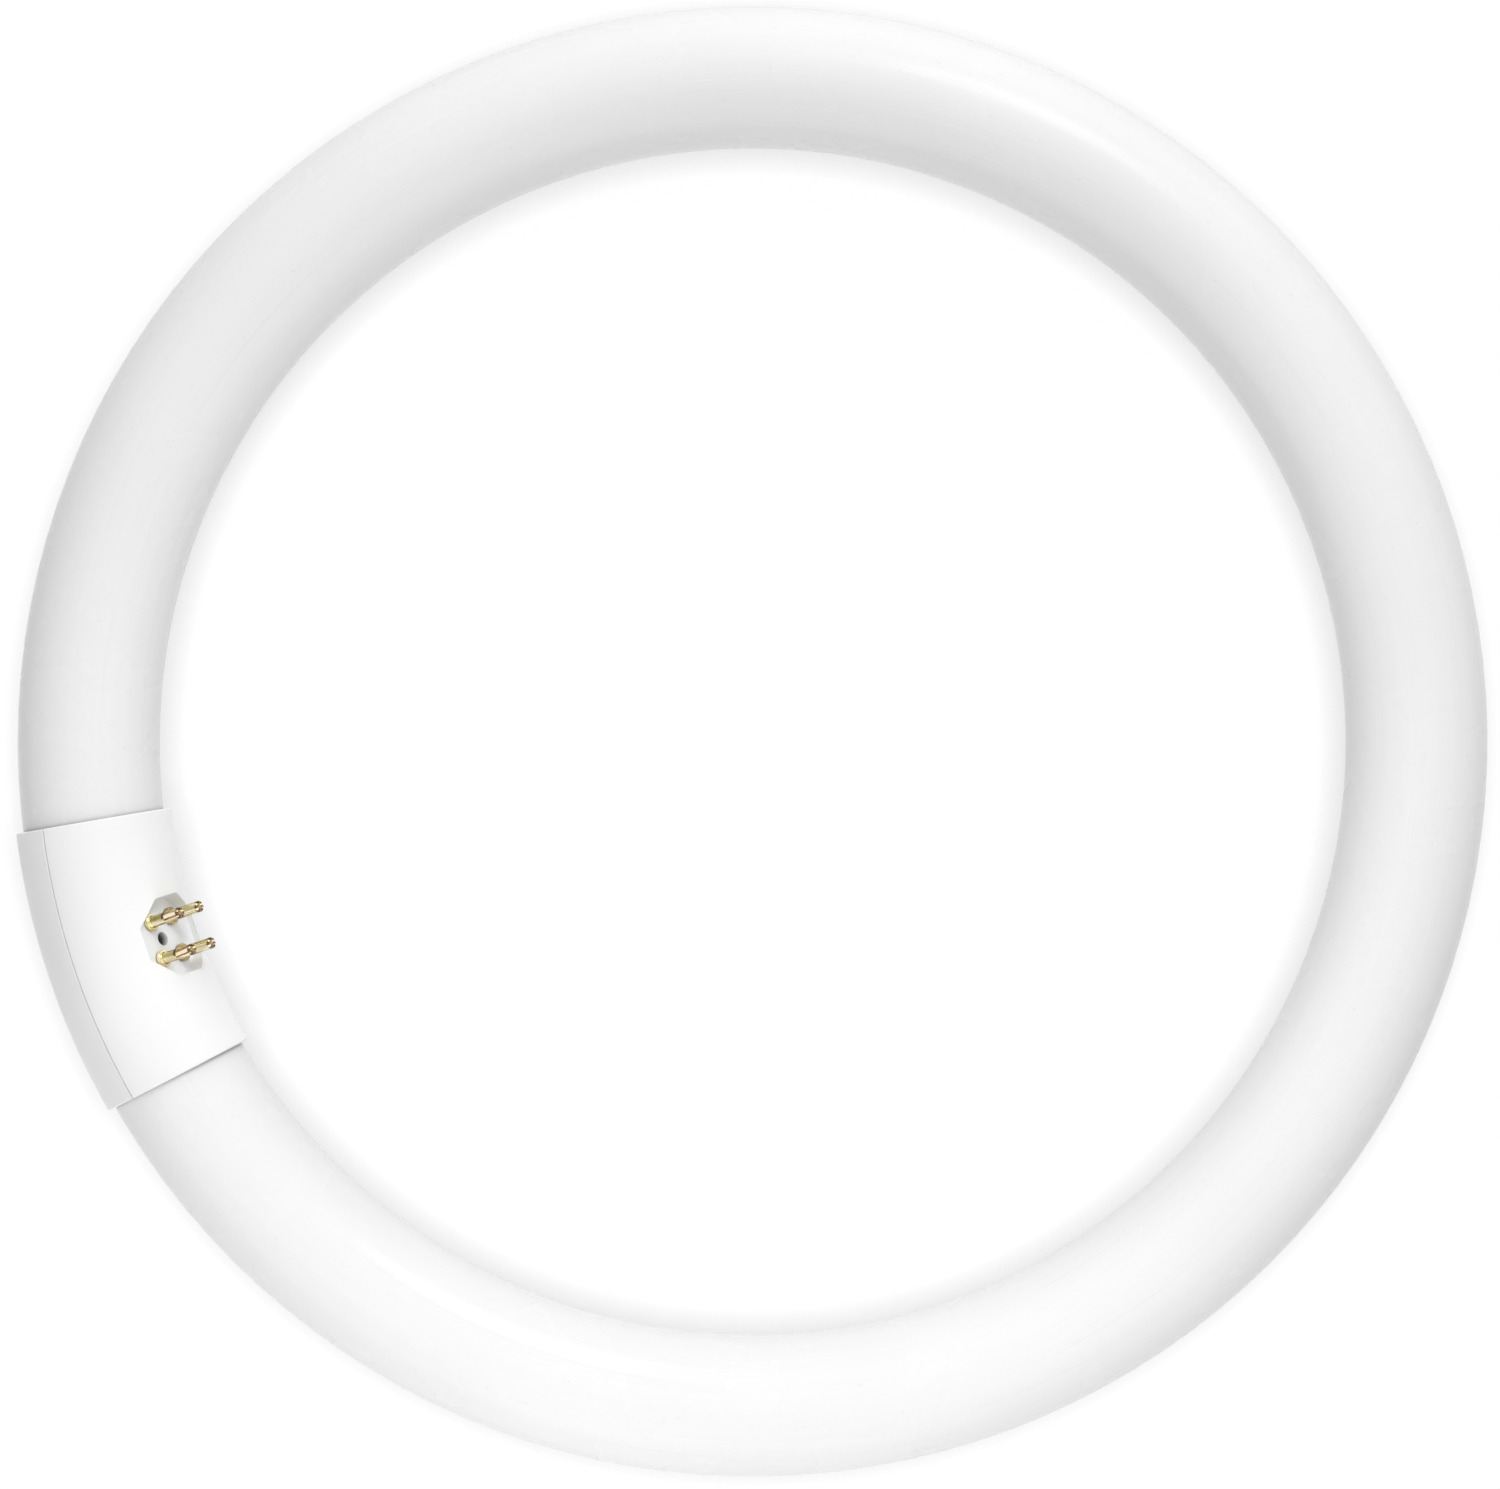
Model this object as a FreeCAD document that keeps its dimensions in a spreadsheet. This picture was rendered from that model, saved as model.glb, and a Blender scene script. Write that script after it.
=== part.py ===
import FreeCAD, Part
import math
import os
from collections import namedtuple

import Sketcher
from FreeCAD import Placement, Rotation, Vector

# Circular fluorescent lamp: a closed glass ring with a two-part plastic collar over its gap and four pins.
# The ring lies flat. The ring's centre is on the Z axis and the collar's underside is at Z zero.
# The collar is on the -X side and its pins lean up and towards the ring's centre.

# Driving dimensions in millimetres and degrees
DRIVING_SIZES = {
    "ring_outer_dia": 305.0,
    "tube_dia": 29.4,
    "lamp_gap": 28.0,
    "glass_end_round": 4.0,
    "stem_mouth_dia": 15.0,
    "stem_floor_dia": 12.0,
    "stem_depth": 12.0,
    "exhaust_dia": 5.0,
    "exhaust_reach": 5.0,
    "collar_length": 56.0,
    "collar_end_angle": 8.8,
    "collar_clearance": 0.5,
    "collar_wall": 1.0,
    "collar_edge_round": 0.35,
    "seam_offset": 0.3,
    "seam_bevel": 0.2,
    "seam_gap": 0.1,
    "lap_length": 1.4,
    "stop_height": 3.0,
    "stop_thickness": 1.2,
    "stop_clearance": 0.4,
    "pin_tilt": 37.0,
    "pin_pitch_along": 7.92,
    "pin_pitch_across": 6.35,
    "pin_dia": 2.35,
    "pin_length": 8.0,
    "pin_tip_round": 0.35,
    "pin_bore_dia": 1.3,
    "pin_neck_length": 1.6,
    "tip_dimple_dia": 1.45,
    "tip_dimple_depth": 0.7,
    "crimp_slot_width": 0.3,
    "crimp_slot_depth": 0.35,
    "flange_dia": 3.7,
    "flange_thickness": 1.0,
    "flange_fillet": 0.3,
    "staked_rim_dia": 3.1,
    "staked_rim_thickness": 0.6,
    "pin_fit_gap": 0.05,
    "recess_across_flats": 16.6,
    "recess_depth": 3.8,
    "recess_wall": 1.2,
    "recess_floor_thickness": 2.2,
    "vent_dia": 2.9,
    "vent_offset": 0.9,
    "hook_width": 6.0,
    "hook_thickness": 1.0,
    "hook_inset": 1.1,
    "hook_reach": 4.2,
    "barb_length": 1.4,
    "barb_height": 0.6,
    "ledge_thickness": 1.0,
    "hook_play": 0.15,
    "lead_dia": 0.6,
    "lead_spacing": 8.0,
    "lead_run_out": 3.0,
    "lead_bend_drop": 5.0,
    "lead_fit_gap": 0.06,
    "lead_end_inset": 0.35,
    "sleeve_bore_dia": 0.8,
    "sleeve_outer_dia": 1.5,
    "sleeve_end_gap": 0.8,
}

DOC = FreeCAD.newDocument("circular_lamp")
SHEET = DOC.addObject("Spreadsheet::Sheet", "Sizes")


def fill_sheet():
    """Write each driving dimension to its own row and give its cell the dimension's name."""
    for row, (name, number) in enumerate(DRIVING_SIZES.items(), start=1):
        SHEET.set(f"A{row}", name)
        SHEET.set(f"B{row}", str(number))
        SHEET.setAlias(f"B{row}", name)
    DOC.recompute()


def cell(name):
    """The expression that reads one driving dimension."""
    return f"Sizes.{name}"


def value(expression):
    """The number that an expression has with the sheet as it stands."""
    return float(SHEET.evalExpression(expression))


# Derived sizes, as expressions of the sheet
RING_RADIUS = f"(({cell('ring_outer_dia')} - {cell('tube_dia')}) / 2)"
TUBE_RADIUS = f"({cell('tube_dia')} / 2)"
COLLAR_INSIDE = f"({TUBE_RADIUS} + {cell('collar_clearance')})"
COLLAR_OUTSIDE = f"({COLLAR_INSIDE} + {cell('collar_wall')})"
LAP_RADIUS = f"({COLLAR_INSIDE} + {cell('collar_wall')} / 2)"
SEAM_X = cell("seam_offset")
GLASS_END_ANGLE = f"({cell('lamp_gap')} / 2 / {RING_RADIUS} * 180 / pi)"
RECESS_FLOOR = f"({COLLAR_OUTSIDE} - {cell('recess_depth')})"
RECESS_UNDERSIDE = f"({RECESS_FLOOR} - {cell('recess_floor_thickness')})"
LEAN_COS = f"cos({cell('pin_tilt')})"
LEAN_SIN = f"sin({cell('pin_tilt')})"
PIN_TIP = f"({RECESS_FLOOR} + {cell('flange_thickness')} + {cell('pin_length')})"
PIN_TAIL = f"({RECESS_UNDERSIDE} - {cell('staked_rim_thickness')})"
WIRE_HOLE_RADIUS = f"({cell('lead_dia')} / 2 + {cell('lead_fit_gap')})"

SIDES = (1, -1)
FULL_TURN = 360.0
NEAR = 0.01
NOTHING = 1e-9
Arc = namedtuple("Arc", "radius clockwise centre_x centre_y", defaults=("0", "0"))


def datum(body, role):
    """A body's own origin plane or axis."""
    return next(item for item in body.Origin.OriginFeatures if item.Role == role)


def new_body(label, lift=COLLAR_OUTSIDE):
    """A body drawn about the ring's own plane and lifted so that the collar rests on Z zero."""
    body = DOC.addObject("PartDesign::Body", label)
    body.Label = label
    if lift:
        body.setExpression("Placement.Base.z", lift)
    return body


def new_sketch(body, name, role, base=None, turn_axis=None, turn=None):
    """A sketch on one of the body's origin planes, moved and turned by expressions."""
    sketch = body.newObject("Sketcher::SketchObject", name)
    sketch.AttachmentSupport = [(datum(body, role), "")]
    sketch.MapMode = "FlatFace"
    if turn:
        sketch.AttachmentOffset = Placement(Vector(), Rotation(turn_axis, value(turn)))
        sketch.setExpression("AttachmentOffset.Rotation.Angle", turn)
    for letter, expression in (base or {}).items():
        sketch.setExpression(f"AttachmentOffset.Base.{letter}", expression)
    return sketch


def ring_section(body, name):
    """A sketch across the tube, centred on it, with its X axis along the pins."""
    return new_sketch(body, name, "XZ_Plane", {"x": f"-{RING_RADIUS}"}, Vector(0, 0, 1), cell("pin_tilt"))


def pin_plane(body, name, height):
    """A sketch square to the pins, at a height from the tube's centre, with X along the tube."""
    base = {"y": f"{height} * {LEAN_SIN}", "z": f"{height} * {LEAN_COS} - {RING_RADIUS}"}
    return new_sketch(body, name, "YZ_Plane", base, Vector(-1, 0, 0), cell("pin_tilt"))


def fix_point(sketch, index, end, x, y, tag, only=None):
    """Hold one point of a sketch by expressions for its X and Y, or by only one of them."""
    axes = (("DistanceX", x, -2), ("DistanceY", y, -1))
    for kind, expression, zero_axis in axes:
        if only and kind != only:
            continue
        number = value(expression)
        if abs(number) < NOTHING:
            sketch.addConstraint(Sketcher.Constraint("PointOnObject", index, end, zero_axis))
            continue
        made = sketch.addConstraint(Sketcher.Constraint(kind, -1, 1, index, end, number))
        sketch.renameConstraint(made, f"{tag}_{kind}")
        sketch.setExpression(f"Constraints.{tag}_{kind}", expression)


def arc_about(centre, start, end, radius, clockwise):
    """The arc about a centre from one point to another."""
    begin = math.atan2(start.y - centre.y, start.x - centre.x)
    finish = math.atan2(end.y - centre.y, end.x - centre.x)
    if clockwise:
        begin, finish = finish, begin
    if finish <= begin:
        finish += 2 * math.pi
    return Part.ArcOfCircle(Part.Circle(centre, Vector(0, 0, 1), radius), begin, finish)


def hold_arc(sketch, index, arc, tag):
    """Hold an arc's centre and radius by their expressions."""
    fix_point(sketch, index, 3, arc.centre_x, arc.centre_y, f"{tag}_centre")
    hold = sketch.addConstraint(Sketcher.Constraint("Radius", index, value(arc.radius)))
    sketch.renameConstraint(hold, f"{tag}_radius")
    sketch.setExpression(f"Constraints.{tag}_radius", arc.radius)


def free_coordinate(point, centre):
    """The one coordinate that places a point on an arc best."""
    return "DistanceX" if abs(point.y - centre.y) >= abs(point.x - centre.x) else "DistanceY"


def outline(sketch, tag, corners):
    """A closed outline. A corner is (x, y), or (x, y, Arc) where an arc leads to the next one."""
    points = [Vector(value(corner[0]), value(corner[1]), 0) for corner in corners]
    made, only = [], {}
    for number, corner in enumerate(corners):
        after = (number + 1) % len(points)
        start, end = points[number], points[after]
        if len(corner) == 2:
            made.append((sketch.addGeometry(Part.LineSegment(start, end), False), 1, 2))
            continue
        arc = corner[2]
        centre = Vector(value(arc.centre_x), value(arc.centre_y), 0)
        index = sketch.addGeometry(arc_about(centre, start, end, value(arc.radius), arc.clockwise), False)
        made.append((index, 2, 1) if arc.clockwise else (index, 1, 2))
        only[number], only[after] = free_coordinate(start, centre), free_coordinate(end, centre)
        hold_arc(sketch, index, arc, f"{tag}_arc_{number}")
    for number, corner in enumerate(corners):
        index, begin, finish = made[number]
        following, following_begin, _ = made[(number + 1) % len(made)]
        sketch.addConstraint(Sketcher.Constraint("Coincident", index, finish, following, following_begin))
        fix_point(sketch, index, begin, corner[0], corner[1], f"{tag}_{number}", only.get(number))


def circle(sketch, tag, x, y, radius):
    """A circle held by expressions for its centre and radius."""
    centre = Vector(value(x), value(y), 0)
    index = sketch.addGeometry(Part.Circle(centre, Vector(0, 0, 1), value(radius)), False)
    fix_point(sketch, index, 3, x, y, tag)
    hold = sketch.addConstraint(Sketcher.Constraint("Radius", index, value(radius)))
    sketch.renameConstraint(hold, f"{tag}_radius")
    sketch.setExpression(f"Constraints.{tag}_radius", radius)


def turn_about(body, name, kind, sketch, axis, angle, midplane=True):
    """A revolved or grooved feature about an axis, by an expression for its angle."""
    feature = body.newObject(f"PartDesign::{kind}", name)
    feature.Profile = sketch
    feature.ReferenceAxis = axis
    feature.Midplane = midplane
    feature.Angle = value(angle)
    feature.setExpression("Angle", angle)
    DOC.recompute()
    return feature


def about_ring(body, name, kind, sketch, angle):
    """A feature turned about the ring's axis, half to each side of the collar's middle."""
    return turn_about(body, name, kind, sketch, (datum(body, "Z_Axis"), [""]), angle)


def about_sketch(body, name, kind, sketch):
    """A feature turned a whole turn about its sketch's own X axis."""
    return turn_about(body, name, kind, sketch, (sketch, ["H_Axis"]), str(FULL_TURN), False)


def push(body, name, kind, sketch, length, midplane=False):
    """A pad or pocket of an expression's length."""
    feature = body.newObject(f"PartDesign::{kind}", name)
    feature.Profile = sketch
    feature.Length = value(length)
    feature.Midplane = midplane
    feature.setExpression("Length", length)
    DOC.recompute()
    return feature


def mirror(body, name, originals):
    """The same features on the other side of the collar's middle plane."""
    feature = body.newObject("PartDesign::Mirrored", name)
    feature.Originals = originals
    feature.MirrorPlane = (datum(body, "XZ_Plane"), [""])
    body.Tip = feature
    DOC.recompute()
    return feature


def edges_where(shape, test):
    """The names of a shape's edges that pass a test."""
    return [f"Edge{number}" for number, edge in enumerate(shape.Edges, start=1) if test(edge)]


def round_edges(body, name, base, edges, radius):
    """A fillet of an expression's radius on named edges."""
    feature = body.newObject("PartDesign::Fillet", name)
    feature.Base = (base, edges)
    feature.Radius = value(radius)
    feature.setExpression("Radius", radius)
    DOC.recompute()
    return feature


def glass_tube():
    """The closed glass ring with rounded ends, each with its stem recess and sealed exhaust tip."""
    body = new_body("glass_tube")
    section = new_sketch(body, "tube_section", "XZ_Plane")
    circle(section, "tube", RING_RADIUS, "0", TUBE_RADIUS)
    ring = about_ring(body, "tube_ring", "Revolution", section, f"{FULL_TURN} - 2 * {GLASS_END_ANGLE}")

    rim_length = 2 * math.pi * value(TUBE_RADIUS)

    def is_rim(edge):
        return abs(edge.Length - rim_length) < NEAR and edge.CenterOfMass.x < 0

    round_edges(body, "end_rounds", ring, edges_where(ring.Shape, is_rim), cell("glass_end_round"))

    end_place = {
        "x": f"-{RING_RADIUS} * cos({GLASS_END_ANGLE})",
        "y": f"{RING_RADIUS} * sin({GLASS_END_ANGLE})",
    }
    turn = (Vector(0, 0, -1), f"90 + {GLASS_END_ANGLE}")
    mouth, floor = f"{cell('stem_mouth_dia')} / 2", f"{cell('stem_floor_dia')} / 2"
    stub, reach = f"{cell('exhaust_dia')} / 2", cell("exhaust_reach")
    bottom = f"-{cell('stem_depth')}"
    recess = new_sketch(body, "stem_recess_section", "XY_Plane", end_place, *turn)
    corners = [(bottom, "0"), (reach, "0"), (reach, mouth), ("0", mouth), (bottom, floor)]
    outline(recess, "recess", corners)
    hollow = about_sketch(body, "stem_recess", "Groove", recess)

    tip = new_sketch(body, "exhaust_tip_section", "XY_Plane", end_place, *turn)
    root = f"{bottom} - {cell('exhaust_dia')} / 4"
    shoulder = f"{reach} - {stub}"
    corners = [(root, "0"), (reach, "0", Arc(stub, False, shoulder, "0")), (shoulder, stub), (root, stub)]
    outline(tip, "tip", corners)
    exhaust = about_sketch(body, "exhaust_tip", "Revolution", tip)
    mirror(body, "other_end", [hollow, exhaust])
    return body


def on_circle(x, radius, side):
    """The Y of a point at X on a circle about the sketch's origin, as an expression."""
    return f"{side} * sqrt(({radius})^2 - ({x})^2)"


def arch(sketch, tag, steps, bulge):
    """A C-shaped section about the tube's centre that bulges towards +X, or towards -X where bulge is -1.

    steps are the corners of its upper end, from outside to inside: X, radius, and whether an arc follows.
    """
    upper, lower = [], []
    for x, radius, curved in steps:
        arc = (Arc(radius, True),) if curved else ()
        upper.append((x, on_circle(x, radius, 1)) + arc)
    for number in reversed(range(len(steps))):
        x, radius, _ = steps[number]
        arc = (Arc(radius, True),) if number and steps[number - 1][2] else ()
        lower.append((x, on_circle(x, radius, -1)) + arc)
    upper[-1] += (Arc(steps[-1][1], bulge > 0),)
    lower[-1] += (Arc(steps[0][1], bulge < 0),)
    outline(sketch, tag, upper + lower)


def trim_ends(body):
    """Cut both ends of the collar square to the ring's plane, at their own angle."""
    half_angle = f"({cell('collar_length')} / 2 / {RING_RADIUS} * 180 / pi)"
    end_x, end_y = f"-{RING_RADIUS} * cos({half_angle})", f"{RING_RADIUS} * sin({half_angle})"
    run = f"2 * {COLLAR_OUTSIDE}"
    rise = f"{run} * tan({cell('collar_end_angle')})"
    far = f"{end_y} + {cell('collar_length')}"
    sketch = new_sketch(body, "end_cut_outline", "XY_Plane")
    corners = [
        (f"{end_x} - {run}", f"{end_y} + {rise}"),
        (f"{end_x} + {run}", f"{end_y} - {rise}"),
        (f"{end_x} + {run}", far),
        (f"{end_x} - {run}", far),
    ]
    outline(sketch, "cut", corners)
    cut = push(body, "end_cut", "Pocket", sketch, f"4 * {COLLAR_OUTSIDE}", True)
    return mirror(body, "other_end_cut", [cut])


def round_ends(body):
    """Break the collar's sharp outer end edges."""
    base = body.Tip
    angle = math.radians(value(cell("collar_end_angle")))
    outside = value(COLLAR_OUTSIDE)
    ring_radius = value(RING_RADIUS)

    def on_outside_end(edge):
        middle = edge.valueAt((edge.FirstParameter + edge.LastParameter) / 2)
        from_tube = math.hypot(math.hypot(middle.x, middle.y) - ring_radius, middle.z)
        ends = [vertex.Point for vertex in edge.Vertexes]
        slope = max(abs(abs(a.y) - abs(middle.y) + (a.x - middle.x) * math.tan(angle)) for a in ends)
        long_enough = edge.Length > outside
        return abs(from_tube - outside) < NEAR and slope < NEAR and long_enough

    names = edges_where(base.Shape, on_outside_end)
    return round_edges(body, "end_edge_rounds", base, names, cell("collar_edge_round"))


def collar_angle():
    """The angle about the ring that holds the collar and its slanted ends, as an expression."""
    return f"(2 * ({cell('collar_length')} / 2 + {COLLAR_OUTSIDE} / 2) / {RING_RADIUS} * 180 / pi)"


def end_stops(body, steps, bulge):
    """Two thin crescents inside a shell that lie in the gap, just clear of the glass ends."""
    outer = f"({cell('lamp_gap')} / 2 - {cell('stop_clearance')})"
    inner = f"({outer} - {cell('stop_thickness')})"
    to_angle = f"* 2 / {RING_RADIUS} * 180 / pi"
    section = ring_section(body, "stop_section")
    arch(section, "stop", steps, bulge)
    about_ring(body, "stops", "Revolution", section, f"{outer} {to_angle}")
    between = ring_section(body, "between_stops_section")
    x, _, _ = steps[0]
    low = f"({COLLAR_INSIDE} - 2 * {cell('stop_height')})"
    arch(between, "between", [(x, COLLAR_INSIDE, False), (x, low, False)], bulge)
    about_ring(body, "between_stops", "Groove", between, f"{inner} {to_angle}")


def octagon(sketch, tag, across):
    """A regular octagon about the sketch's origin, with flats square to its axes."""
    half, short = f"({across}) / 2", f"({across}) / 2 * tan(22.5)"
    quarter = [(half, short), (short, half)]
    corners = []
    for flip_x, flip_y in ((1, 1), (-1, 1), (-1, -1), (1, -1)):
        pair = quarter if flip_x == flip_y else quarter[::-1]
        corners += [(f"{flip_x} * {x}", f"{flip_y} * {y}") for x, y in pair]
    outline(sketch, tag, corners)


def cross(sketch, tag, reach, half_width):
    """A plus sign about the sketch's origin."""
    quarter = [(reach, half_width), (half_width, half_width), (half_width, reach)]
    corners = []
    for flip_x, flip_y in ((1, 1), (-1, 1), (-1, -1), (1, -1)):
        three = quarter if flip_x == flip_y else quarter[::-1]
        corners += [(f"{flip_x} * {x}", f"{flip_y} * {y}") for x, y in three]
    outline(sketch, tag, corners)


def pin_shell():
    """The collar half that faces the ring's centre, with the recess that carries the pins."""
    body = new_body("pin_shell")
    wall = ring_section(body, "wall_section")
    lap_x = f"({SEAM_X} + {cell('lap_length')})"
    bevel = cell("seam_bevel")
    steps = [
        (f"{SEAM_X} + {bevel}", COLLAR_OUTSIDE, False),
        (SEAM_X, f"{COLLAR_OUTSIDE} - {bevel}", False),
        (SEAM_X, LAP_RADIUS, True),
        (lap_x, LAP_RADIUS, False),
        (lap_x, COLLAR_INSIDE, False),
    ]
    arch(wall, "wall", steps, 1)
    about_ring(body, "wall", "Revolution", wall, collar_angle())

    stop_x = f"({lap_x} + {cell('lap_length')})"
    low = f"({COLLAR_INSIDE} - {cell('stop_height')})"
    end_stops(body, [(stop_x, LAP_RADIUS, False), (stop_x, low, False)], 1)
    trim_ends(body)

    tray = pin_plane(body, "tray_outline", RECESS_UNDERSIDE)
    octagon(tray, "tray", f"{cell('recess_across_flats')} + 2 * {cell('recess_wall')}")
    push(body, "tray", "Pad", tray, f"{COLLAR_OUTSIDE} - {RECESS_UNDERSIDE}")
    outside = ring_section(body, "outside_section")
    circle(outside, "skin", "0", "0", COLLAR_OUTSIDE)
    circle(outside, "beyond", "0", "0", f"1.5 * {COLLAR_OUTSIDE}")
    about_ring(body, "outside_trim", "Groove", outside, collar_angle())

    above = f"({COLLAR_OUTSIDE} + {cell('recess_depth')})"
    recess = pin_plane(body, "recess_outline", above)
    octagon(recess, "recess", cell("recess_across_flats"))
    push(body, "recess", "Pocket", recess, f"{above} - {RECESS_FLOOR}")

    holes = pin_plane(body, "hole_places", above)
    along, across = f"{cell('pin_pitch_along')} / 2", f"{cell('pin_pitch_across')} / 2"
    for row in SIDES:
        for column in SIDES:
            place = (f"{column} * {along}", f"{row} * {across}")
            circle(holes, f"pin_{row + 2}_{column + 2}", *place, f"{cell('pin_dia')} / 2 + {cell('pin_fit_gap')}")
    circle(holes, "vent", "0", cell("vent_offset"), f"{cell('vent_dia')} / 2")
    through = f"{above} - {RECESS_UNDERSIDE} + {cell('recess_floor_thickness')}"
    push(body, "pin_holes_and_vent", "Pocket", holes, through)

    hook_line = f"({COLLAR_INSIDE} - {cell('hook_inset')})"
    ledge_x = f"({SEAM_X} + {cell('hook_reach')} - {cell('barb_length')} - {cell('hook_play')})"
    ledges = ring_section(body, "ledge_sections")
    for side in SIDES:
        low_y, high_y = f"{side} * ({hook_line} + {cell('hook_play')})", f"{side} * {LAP_RADIUS}"
        near = f"({ledge_x} - {cell('ledge_thickness')})"
        corners = [(near, low_y), (ledge_x, low_y), (ledge_x, high_y), (near, high_y)]
        outline(ledges, f"ledge_{side + 2}", corners)
    push(body, "ledges", "Pad", ledges, cell("hook_width"), True)
    round_ends(body)
    return body


def back_shell():
    """The collar half away from the pins, with the inner lap and two snap hooks."""
    body = new_body("back_shell")
    wall = ring_section(body, "wall_section")
    seam = f"({SEAM_X} - {cell('seam_gap')})"
    lap_end = f"({SEAM_X} + {cell('lap_length')} - {cell('seam_gap')})"
    lap_outside = f"({LAP_RADIUS} - {cell('seam_gap')} / 2)"
    bevel = cell("seam_bevel")
    steps = [
        (f"{seam} - {bevel}", COLLAR_OUTSIDE, False),
        (seam, f"{COLLAR_OUTSIDE} - {bevel}", False),
        (seam, lap_outside, True),
        (lap_end, lap_outside, False),
        (lap_end, COLLAR_INSIDE, False),
    ]
    arch(wall, "wall", steps, -1)
    about_ring(body, "wall", "Revolution", wall, collar_angle())

    low = f"({COLLAR_INSIDE} - {cell('stop_height')})"
    end_stops(body, [(seam, lap_outside, False), (seam, low, False)], -1)
    trim_ends(body)

    hook_line = f"({COLLAR_INSIDE} - {cell('hook_inset')})"
    under = f"({hook_line} - {cell('hook_thickness')})"
    root = f"(-sqrt(({LAP_RADIUS})^2 - ({under})^2))"
    tip = f"({SEAM_X} + {cell('hook_reach')})"
    barb = f"({tip} - {cell('barb_length')})"
    hooks = ring_section(body, "hook_sections")
    for side in SIDES:
        corners = [
            (root, f"{side} * {under}"),
            (tip, f"{side} * {under}"),
            (tip, f"{side} * {hook_line}"),
            (barb, f"{side} * ({hook_line} + {cell('barb_height')})"),
            (barb, f"{side} * {hook_line}"),
            (f"(-sqrt(({LAP_RADIUS})^2 - ({hook_line})^2))", f"{side} * {hook_line}"),
        ]
        outline(hooks, f"hook_{side + 2}", corners)
    push(body, "hooks", "Pad", hooks, cell("hook_width"), True)
    round_ends(body)
    return body


def contact_pin(label, row, column):
    """One hollow brass pin, turned about its own Z axis, with its flange on the recess floor."""
    body = new_body(label, None)
    section = new_sketch(body, "pin_section", "XZ_Plane")
    flange, radius = f"{cell('flange_dia')} / 2", f"{cell('pin_dia')} / 2"
    top = f"({cell('flange_thickness')} + {cell('pin_length')})"
    round_off = cell("pin_tip_round")
    under, tail = f"-{cell('recess_floor_thickness')}", f"({PIN_TAIL} - {RECESS_FLOOR})"
    bore, hole = f"{cell('pin_bore_dia')} / 2", WIRE_HOLE_RADIUS
    rim = f"{cell('staked_rim_dia')} / 2"
    edge = f"{cell('flange_thickness')} / 4"
    neck = f"({top} - {cell('pin_neck_length')})"
    fillet, seat = cell("flange_fillet"), cell("flange_thickness")
    dimple = f"{cell('tip_dimple_dia')} / 2"
    flange_arc = Arc(edge, False, f"{flange} - {edge}", f"{seat} - {edge}")
    foot_arc = Arc(fillet, True, f"{radius} + {fillet}", f"{seat} + {fillet}")
    tip_arc = Arc(round_off, False, f"{radius} - {round_off}", f"{top} - {round_off}")
    corners = [
        (bore, tail),
        (rim, tail),
        (rim, under),
        (radius, under),
        (radius, "0"),
        (flange, "0"),
        (flange, f"{seat} - {edge}", flange_arc),
        (f"{flange} - {edge}", seat),
        (f"{radius} + {fillet}", seat, foot_arc),
        (radius, f"{seat} + {fillet}"),
        (radius, f"{top} - {round_off}", tip_arc),
        (f"{radius} - {round_off}", top),
        (dimple, top),
        (hole, f"{top} - {cell('tip_dimple_depth')}"),
        (hole, neck),
        (bore, neck),
    ]
    outline(section, "pin", corners)
    turn_about(body, "pin_turned", "Revolution", section, (datum(body, "Z_Axis"), [""]), str(FULL_TURN), False)
    slots = new_sketch(body, "crimp_slot_outline", "XY_Plane", {"z": top})
    cross(slots, "slots", flange, f"{cell('crimp_slot_width')} / 2")
    push(body, "crimp_slots", "Pocket", slots, cell("crimp_slot_depth"))

    across = f"({row} * {cell('pin_pitch_across')} / 2)"
    body.Placement = Placement(Vector(), Rotation(Vector(0, 1, 0), 90 - value(cell("pin_tilt"))))
    body.setExpression("Placement.Rotation.Angle", f"90 - {cell('pin_tilt')}")
    body.setExpression("Placement.Base.x", f"{RECESS_FLOOR} * {LEAN_COS} - {across} * {LEAN_SIN} - {RING_RADIUS}")
    body.setExpression("Placement.Base.y", f"{column} * {cell('pin_pitch_along')} / 2")
    body.setExpression("Placement.Base.z", f"{RECESS_FLOOR} * {LEAN_SIN} + {across} * {LEAN_COS} + {COLLAR_OUTSIDE}")
    return body


def in_collar(height, across, along):
    """A point by its height along the pins, its place across them and its place along the tube."""
    lean_cos, lean_sin = value(LEAN_COS), value(LEAN_SIN)
    return Vector(
        height * lean_cos - across * lean_sin - value(RING_RADIUS),
        along,
        height * lean_sin + across * lean_cos,
    )


def lead_points(row, column):
    """A lead's route, from its stem in one glass end, up under its pin and through to the pin's tip."""
    end_angle = math.radians(value(GLASS_END_ANGLE))
    radius = value(RING_RADIUS)
    end = Vector(-radius * math.cos(end_angle), column * radius * math.sin(end_angle), 0)
    out_of_glass = Vector(-math.sin(end_angle), -column * math.cos(end_angle), 0)
    inward = Vector(math.cos(end_angle), -column * math.sin(end_angle), 0)
    aside = (Vector(0, 0, 1) * value(LEAN_COS) - inward * value(LEAN_SIN)) * row * value(cell("lead_spacing")) / 2
    across = row * value(cell("pin_pitch_across")) / 2
    along = column * value(cell("pin_pitch_along")) / 2
    turn_height = value(PIN_TAIL) - value(cell("lead_bend_drop"))
    return [
        end - out_of_glass * value(cell("stem_depth")) + aside,
        end + out_of_glass * value(cell("lead_run_out")) + aside,
        in_collar(turn_height, across, along),
        in_collar(value(PIN_TIP) - value(cell("lead_end_inset")), across, along),
    ]


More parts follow.
